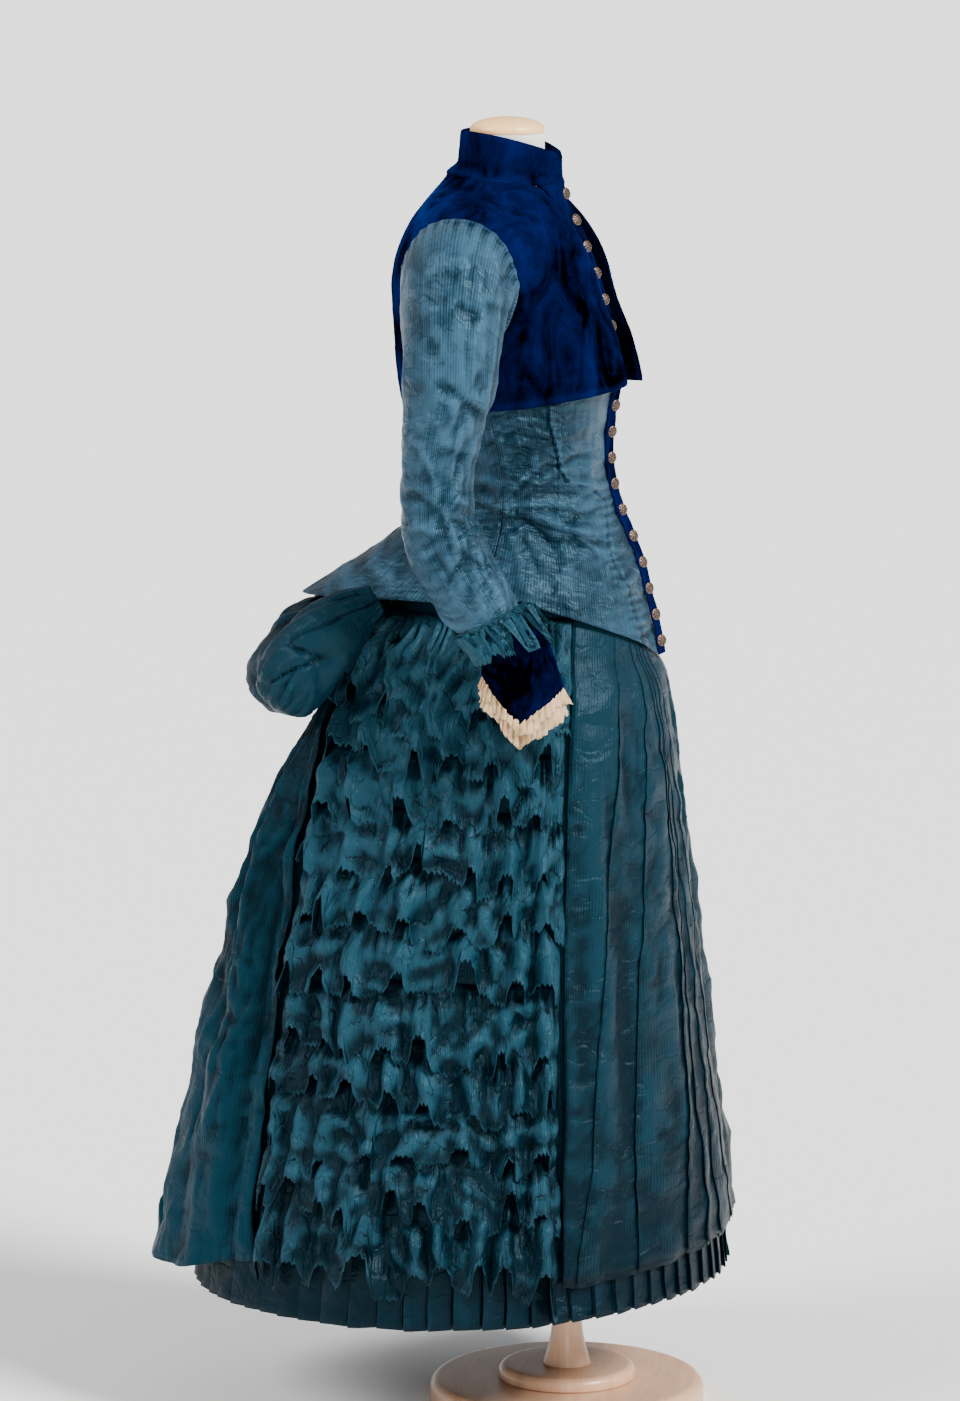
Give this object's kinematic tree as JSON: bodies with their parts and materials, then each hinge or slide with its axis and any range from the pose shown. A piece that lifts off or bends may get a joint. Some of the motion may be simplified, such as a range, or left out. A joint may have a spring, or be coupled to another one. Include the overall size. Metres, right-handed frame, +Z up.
{
  "type": "bustle dress on dress form stand",
  "caption": "Two-piece bustle dress with velvet jacket, long sleeves, ruffled skirt sides and a pleated hem, standing on a padded dress form with a turned wooden pole and round base.",
  "frame": {"origin": "centre of the stand's flat underside, on the floor", "axes": "+Z up; the wearer faces -Y; the wearer's left is +X"},
  "size_m": [0.6222, 0.7019, 1.5376],
  "materials": {
    "silk": "dark teal shot silk faille, fine crosswise rib, soft sheen",
    "velvet": "deep royal blue silk velvet, dull head-on and bright at grazing angles",
    "frill": "cream pleated cotton",
    "form_cloth": "white cotton over a padded form",
    "metal": "openwork bronze, darkened in the hollows",
    "wood": "honey maple, satin varnish"
  },
  "bodies": {
    "root": {"stand_base": "wood", "stand_flange": "wood", "stand_pole": "wood", "neck_cap": "wood", "dress_form": "form_cloth", "underskirt": "silk", "hem_flounce": "silk", "front_panel": "silk", "side_ruffles_left": "silk", "side_ruffles_right": "silk", "hip_drape_left": "silk", "hip_drape_right": "silk", "back_drape": "silk", "puff_middle": "silk", "puff_loop_left": "silk", "puff_loop_right": "silk", "bodice_front_left": "silk", "bodice_front_right": "silk", "bodice_back_left": "silk", "bodice_back_right": "silk", "jacket_front_left": "velvet", "jacket_front_right": "velvet", "jacket_back": "velvet", "vest_left": "velvet", "vest_right": "velvet", "collar": "velvet", "sleeve_left": "silk", "sleeve_right": "silk", "sleeve_ruffle_left": "silk", "sleeve_ruffle_right": "silk", "cuff_left": "velvet", "cuff_right": "velvet", "wrist_frill_left": "frill", "wrist_frill_right": "frill", "button_01": "metal", "button_02": "metal", "button_03": "metal", "button_04": "metal", "button_05": "metal", "button_06": "metal", "button_07": "metal", "button_08": "metal", "button_09": "metal", "button_10": "metal", "button_11": "metal", "button_12": "metal", "button_13": "metal", "button_14": "metal", "button_15": "metal", "button_16": "metal", "button_17": "metal", "button_18": "metal"}
  },
  "joints": []
}
